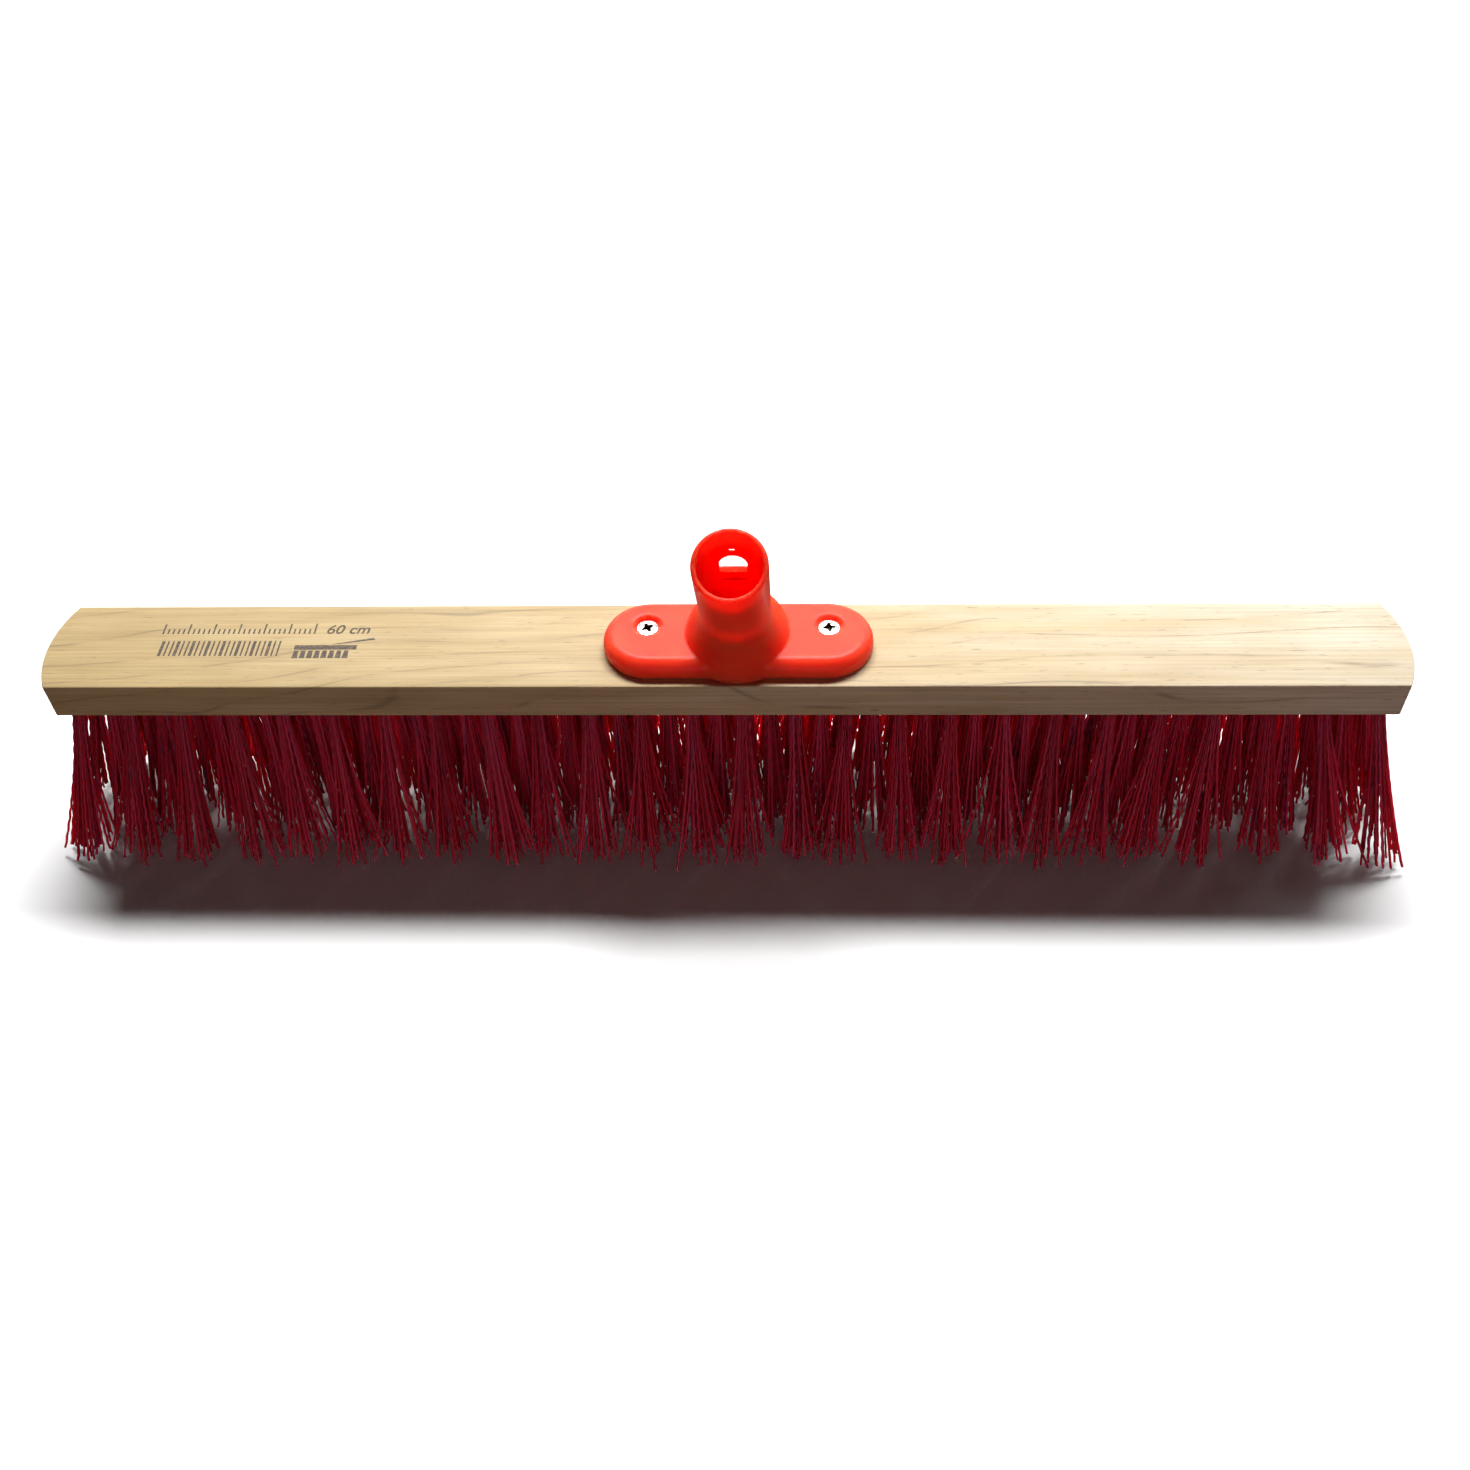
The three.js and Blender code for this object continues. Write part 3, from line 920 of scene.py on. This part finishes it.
# %% Where a point is
def along_filament(tree, given, kept):
    """What is known at a point: its place from the fold, and its leg, place and tuft."""
    spline = add(tree, "GeometryNodeSplineParameter").outputs
    signed = calc(tree, "MULTIPLY_ADD", spline["Factor"], 2.0, -1.0)
    second_leg = calc(tree, "GREATER_THAN", signed, 0.0)
    number = calc(tree, "DIVIDE", kept["filament"], given["Filaments in a tuft"])
    from_fold = calc(tree, "ABSOLUTE", signed)
    past_fold = calc(tree, "MULTIPLY", from_fold, fold_sharpness)
    return {
        **kept,
        "from fold": from_fold,
        "gathered": calc(tree, "SMOOTH_MIN", past_fold, 1.0, 0.2),
        "odd": calc(tree, "MODULO", spline["Index"], 2.0),
        "leg": calc(tree, "MULTIPLY_ADD", kept["filament"], 2.0, second_leg),
        "place": calc(tree, "MULTIPLY_ADD", kept["copy"], 2.0, second_leg),
        "tuft": calc(tree, "FLOOR", number),
    }


def along_tuft(tree, given, at):
    """0 at the root and 1 at the tip, and negative in the hole."""
    root_height = add(tree, "ShaderNodeSeparateXYZ", {0: at["root"]}).outputs["Z"]
    sunk = calc(tree, "DIVIDE", given["Hole depth"], root_height)
    shorter = calc(tree, "MULTIPLY", chance(tree, given, 1, at["leg"]), given["Uneven length"])
    reach = calc(tree, "SUBTRACT", calc(tree, "ADD", tip_reach, sunk), shorter)
    return calc(tree, "SUBTRACT", calc(tree, "MULTIPLY", at["from fold"], reach), sunk)


# %% Out in the bundle
def bundle_offset(tree, given, at):
    """A sunflower pattern, tight at the root and wide at the tip."""
    turn_of_tuft = chance(tree, given, 2, at["tuft"], 0.0, math.tau)
    angle = calc(tree, "MULTIPLY_ADD", at["place"], GOLDEN_ANGLE, turn_of_tuft)
    legs = calc(tree, "MULTIPLY", given["Filaments in a tuft"], 2.0)
    out = calc(tree, "SQRT", calc(tree, "DIVIDE", calc(tree, "ADD", at["place"], 0.5), legs))
    root_radius, tip_radius = given["Bundle radius at root"], given["Bundle radius at tip"]
    opening = calc(tree, "SUBTRACT", tip_radius, root_radius)
    opened = calc(tree, "POWER", at["below"], opening_curve)
    bundle = calc(tree, "MULTIPLY_ADD", opening, opened, root_radius)
    spread = calc(tree, "MULTIPLY", calc(tree, "MULTIPLY", out, bundle), at["gathered"])
    return around(tree, angle, spread)


# %% Strays, lean and crimp
def sideways(tree, given, first, identity, size, grows):
    """A random level offset that grows down the tuft, half as much across the block."""
    away = []
    for use in (first, first + 1):
        swing = calc(tree, "MULTIPLY", chance(tree, given, use, identity, -1.0, 1.0), size)
        away.append(calc(tree, "MULTIPLY", swing, grows))
    return combine(tree, away[0], calc(tree, "MULTIPLY", away[1], 0.5))


def stray_offset(tree, given, at):
    """A few filaments of a tuft curl away from the others."""
    rare = calc(tree, "POWER", chance(tree, given, 3, at["leg"]), 2.0)
    size = calc(tree, "MULTIPLY", given["Stray"], rare)
    return sideways(tree, given, 4, at["leg"], size, calc(tree, "POWER", at["below"], stray_curve))


def crimp_offset(tree, given, at):
    """A zigzag from point to point, each leg's in a direction of its own."""
    side = chance(tree, given, 8, at["leg"], 0.0, math.tau)
    zigzag = calc(tree, "MULTIPLY_ADD", at["odd"], -2.0, 1.0)
    swing = calc(tree, "MULTIPLY", zigzag, given["Crimp height"])
    return around(tree, side, calc(tree, "MULTIPLY", swing, at["gathered"]))


# %% Filament tree
def filament_tree(sizes):
    """Tufts of filaments: straight strands, bent by fields and given a section."""
    tree, given, output = new_tree("Bristle tufts", sizes)
    curves, kept = straight_strands(tree, given)
    at = along_filament(tree, given, kept)
    along = along_tuft(tree, given, at)
    at["below"] = calc(tree, "MAXIMUM", along, 0.0)

    line = vector(tree, "SCALE", vector(tree, "SUBTRACT", at["tip"], at["root"]), along)
    position = vector(tree, "ADD", at["root"], line)
    offsets = [
        bundle_offset(tree, given, at),
        stray_offset(tree, given, at),
        sideways(tree, given, 6, at["tuft"], given["Tuft lean"], at["below"]),
        crimp_offset(tree, given, at),
    ]
    for offset in offsets:
        position = vector(tree, "ADD", position, offset)
    bent = add(tree, "GeometryNodeSetPosition", {"Geometry": curves, "Position": position})
    tone = {"Geometry": bent.outputs[0], "Name": "tone", "Value": chance(tree, given, 9, at["leg"])}
    toned = add(tree, "GeometryNodeStoreNamedAttribute", tone, data_type="FLOAT", domain="POINT")
    square = {"Resolution": 4, "Radius": given["Filament radius"]}
    section = add(tree, "GeometryNodeCurvePrimitiveCircle", square).outputs[0]
    swept = {"Curve": toned.outputs[0], "Profile Curve": section, "Fill Caps": True}
    solid = add(tree, "GeometryNodeCurveToMesh", swept)
    finish_tree(tree, solid.outputs[0], given["Material"], output)
    return tree


bristle_tree = filament_tree(filament_sizes)

# %% Make the bristle rows
bristle_rows = {}
for row, node_name in enumerate(row_nodes):
    start = tuft_map("tufts", tufts_of_row(row))
    sizes = {**filament_sizes, "Seed": 20 * row}
    piece_name = node_name.replace("bristle_row", "bristles")
    bristle_rows[node_name] = run_tree(piece_name, start, bristle_tree, sizes, filament)

# %% [markdown]
# ## The drilled block
# The block's plan has straight sides and gently bowed ends. It is extruded, its edges are
# eased with a bevel, and a tree then drills a hole at every tuft, in line with the tuft's
# lean, with the same boolean that a pilot hole would take.

# %% Block outline
end_bulge = 6.2 * mm


def block_outline(steps=40):
    """The plan, counter-clockwise: two bowed ends joined by straight sides."""
    radius = (half_width**2 + end_bulge**2) / (2 * end_bulge)
    centre = half_length - radius
    sweep = math.asin(half_width / radius)
    angles = [sweep * (2 * i / steps - 1) for i in range(steps + 1)]
    right = [(centre + radius * math.cos(a), radius * math.sin(a)) for a in angles]
    return right + [(-x, -y) for x, y in right]


def slab(name, outlines, low, height, material=None):
    """Counter-clockwise outlines, each raised by a height."""
    vertices, faces = [], []
    for outline in outlines:
        bottom = [len(vertices) + i for i in range(len(outline))]
        top = [i + len(outline) for i in bottom]
        vertices += [(x, y, z) for z in (low, low + height) for x, y in outline]
        faces += [bottom[::-1], top]
        faces += zip(bottom, bottom[1:] + bottom[:1], top[1:] + top[:1], top)
    return mesh_object(name, vertices, faces, material)


def plain_block():
    """The block before drilling, its edges eased."""
    made = slab("plain_block", [block_outline()], underside, block_top - underside)
    bevel = made.modifiers.new("eased edges", "BEVEL")
    bevel.width, bevel.segments, bevel.angle_limit = 0.6 * mm, 3, math.radians(30)
    return made


# %% Drilling tree
def drilling_tree(sizes, holes):
    """Blind holes in a block, one at each point of another object, along its tuft."""
    tree, given, output = new_tree("Tuft holes", sizes)
    places = add(tree, "GeometryNodeObjectInfo", {"Object": holes}).outputs["Geometry"]
    away = vector(tree, "SUBTRACT", *tuft_ends(tree))
    rod = {"Vertices": 24, "Radius": given["Hole radius"], "Depth": given["Drill length"]}
    drill = add(tree, "GeometryNodeMeshCylinder", rod).outputs["Mesh"]
    half_drill = calc(tree, "DIVIDE", given["Drill length"], 2.0)
    drill = lifted(tree, drill, calc(tree, "SUBTRACT", given["Hole depth"], half_drill))
    turned = add(tree, "FunctionNodeAlignRotationToVector", {"Vector": away}, axis="Z").outputs[0]
    cutters = copies_on(tree, corners_as_points(tree, places), drill, Rotation=turned)
    meshes = {"Mesh 1": given["Geometry"], "Mesh 2": cutters}
    drilled = add(tree, "GeometryNodeMeshBoolean", meshes, operation="DIFFERENCE", solver="EXACT")
    finish_tree(tree, drilled.outputs["Mesh"], given["Material"], output)
    return tree


drill_sizes = {
    "Hole radius": hole_radius,
    "Hole depth": hole_depth,
    "Drill length": hole_depth + 3 * mm,
}
hole_map = tuft_map("holes", all_tufts)
drilling = drilling_tree(drill_sizes, hole_map)
block = run_tree("drilled_block", plain_block(), drilling, drill_sizes, wood)
block.data.set_sharp_from_angle(angle=math.radians(35))

# %% [markdown]
# ## Staples
# A flat wire staple is driven across the bottom of each hole, over the fold of the
# filaments, and bites in the wood on both sides. They are hidden, but they are what holds
# the broom together, so each hole gets one.

# %% Staple tree
def staple_tree(sizes):
    """A short flat wire at each point, lifted to the bottom of its hole."""
    tree, given, output = new_tree("Staples", sizes)
    span = combine(tree, given["Span"], given["Wire"], given["Height"])
    wire = add(tree, "GeometryNodeMeshCube", {"Size": span}).outputs["Mesh"]
    points = corners_as_points(tree, given["Geometry"])
    wires = copies_on(tree, points, lifted(tree, wire, given["Lift"]))
    finish_tree(tree, wires, given["Material"], output, smooth=False)
    return tree


staple_sizes = {
    "Span": 8.2 * mm,
    "Wire": 0.4 * mm,
    "Height": 1.8 * mm,
    "Lift": hole_depth - 1.6 * mm,
}
anchors = tuft_map("anchors", all_tufts)
staples = run_tree("tuft_staples", anchors, staple_tree(staple_sizes), staple_sizes, zinc)
bpy.data.objects.remove(hole_map)

# %% [markdown]
# ## The printed mark
# The left of the block carries a small dark-brown mark, stamped on the bare wood. Here it
# is plain: the block's length, a ruler's ticks, a row of bars, and a little broom. The
# ticks and bars repeat, so one tree makes both: upright boxes along a line, in which every
# so many are wider or taller. The ink is a film, a few hundredths of a millimetre thick.

# %% Ink tree
ink_film = 0.04 * mm


def bars_tree(sizes):
    """Upright bars along a line, every so many of them wider or taller."""
    tree, given, output = new_tree("Printed bars", sizes)
    start = combine(tree, given["Left"], given["Bottom"], block_top)
    step = combine(tree, given["Spacing"])
    row = {"Count": given["Bars"], "Start Location": start, "Offset": step}
    line = add(tree, "GeometryNodeMeshLine", row)
    size = combine(tree, given["Width"], given["Height"], ink_film)
    box = add(tree, "GeometryNodeMeshCube", {"Size": size}).outputs["Mesh"]
    up = combine(tree, 0.0, calc(tree, "DIVIDE", given["Height"], 2.0), 0.0)
    bar = add(tree, "GeometryNodeTransform", {"Geometry": box, "Translation": up}).outputs[0]
    index = add(tree, "GeometryNodeInputIndex").outputs[0]
    chosen = calc(tree, "LESS_THAN", calc(tree, "MODULO", index, given["One in"]), 0.5)
    grown = []
    for name in ("Wider", "Taller"):
        more = calc(tree, "SUBTRACT", given[name], 1.0)
        grown.append(calc(tree, "MULTIPLY_ADD", more, chosen, 1.0))
    points = corners_as_points(tree, line.outputs[0])
    bars = copies_on(tree, points, bar, Scale=combine(tree, grown[0], grown[1], 1.0))
    finish_tree(tree, bars, given["Material"], output, smooth=False)
    return tree


# %% Ticks and bars
tick_sizes = {
    "Bars": 31,
    "One in": 5,
    "Left": -250 * mm,
    "Bottom": 7.6 * mm,
    "Spacing": 2.3 * mm,
    "Width": 0.8 * mm,
    "Height": 3.2 * mm,
    "Wider": 1.0,
    "Taller": 2.0,
}
bar_sizes = {
    **tick_sizes,
    "Bars": 24,
    "One in": 3,
    "Left": -248 * mm,
    "Bottom": -6.5 * mm,
    "Height": 9.5 * mm,
    "Width": 0.8 * mm,
    "Wider": 1.8,
    "Taller": 1.0,
}
bars = bars_tree(tick_sizes)
ink_ticks = run_tree("ink_ticks", mesh_object("start", [], []), bars, tick_sizes, ink)
ink_bars = run_tree("ink_bars", mesh_object("start", [], []), bars, bar_sizes, ink)

# %% [markdown]
# Text starts as a curve object. It is turned into a mesh first, and only then moved to its
# place, so that the finished object itself stays at the origin.

# %% Size in letters
def ink_text(words, left, bottom, height):
    """A line of slanted bold letters, printed on the block's top."""
    curve = bpy.data.curves.new("letters", "FONT")
    curve.body = words
    curve.size = height * 1.38
    curve.shear = 0.18
    curve.offset = 0.02 * height
    curve.extrude = ink_film / 2
    letters = new_object("letters", curve)
    evaluated = letters.evaluated_get(bpy.context.evaluated_depsgraph_get())
    mesh = bpy.data.meshes.new_from_object(evaluated)
    bpy.data.objects.remove(letters)
    mesh.transform(Matrix.Translation((left, bottom, block_top)))
    mesh.materials.clear()
    mesh.materials.append(ink)
    made = new_object("ink_size", mesh)
    print("letters are", round(made.dimensions.x / mm, 1), "mm long")
    return made


ink_size = ink_text("60 cm", -176 * mm, 7.6 * mm, 5.8 * mm)

# %% A little broom in ink
def ink_sketch(name, outlines):
    """Shapes from outlines in millimetres, as a thin film on the block's top."""
    scaled = [[(x * mm, y * mm) for x, y in outline] for outline in outlines]
    return slab(name, scaled, block_top - ink_film / 2, ink_film, ink)


broom_head = [(-188, -2.6), (-160, -2.6), (-160, 0.2), (-188, 0.2)]
broom_handle = [(-171.5, 0.8), (-169.5, 0.8), (-152.5, 3.6), (-153.5, 4.8)]
broom_tufts = []
for x in np.arange(-187.6, -162, 3.2):
    broom_tufts.append([(x - 0.4, -8.0), (x + 2.3, -8.0), (x + 1.9, -3.2), (x, -3.2)])
ink_broom = ink_sketch("ink_broom", [broom_head, broom_handle, *broom_tufts])

# %% [markdown]
# ## What moves with what
# Nothing on this broom head moves, so every piece rides on the one body. Each piece stands
# for a node of the model, and that node's own part is hidden.

# %% Pieces and the frame
def stand_for(piece, node_name):
    """A piece that replaces a node."""
    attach(piece, "root")
    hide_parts(node_name)


stand_for(block, "wood_block")
stand_for(socket, "handle_socket")
for side, piece in screws.items():
    stand_for(piece, "socket_screw_" + side)
for node_name, piece in bristle_rows.items():
    stand_for(piece, node_name)
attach(staples, "root")
for piece in (ink_ticks, ink_bars, ink_size, ink_broom):
    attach(piece, "root")

# %% Print both sizes
visual_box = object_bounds()
boxes = {"cad": cad_box, "visual": visual_box}
sizes = {name: [list(map(float, corner)) for corner in box] for name, box in boxes.items()}
print("sizes", sizes)
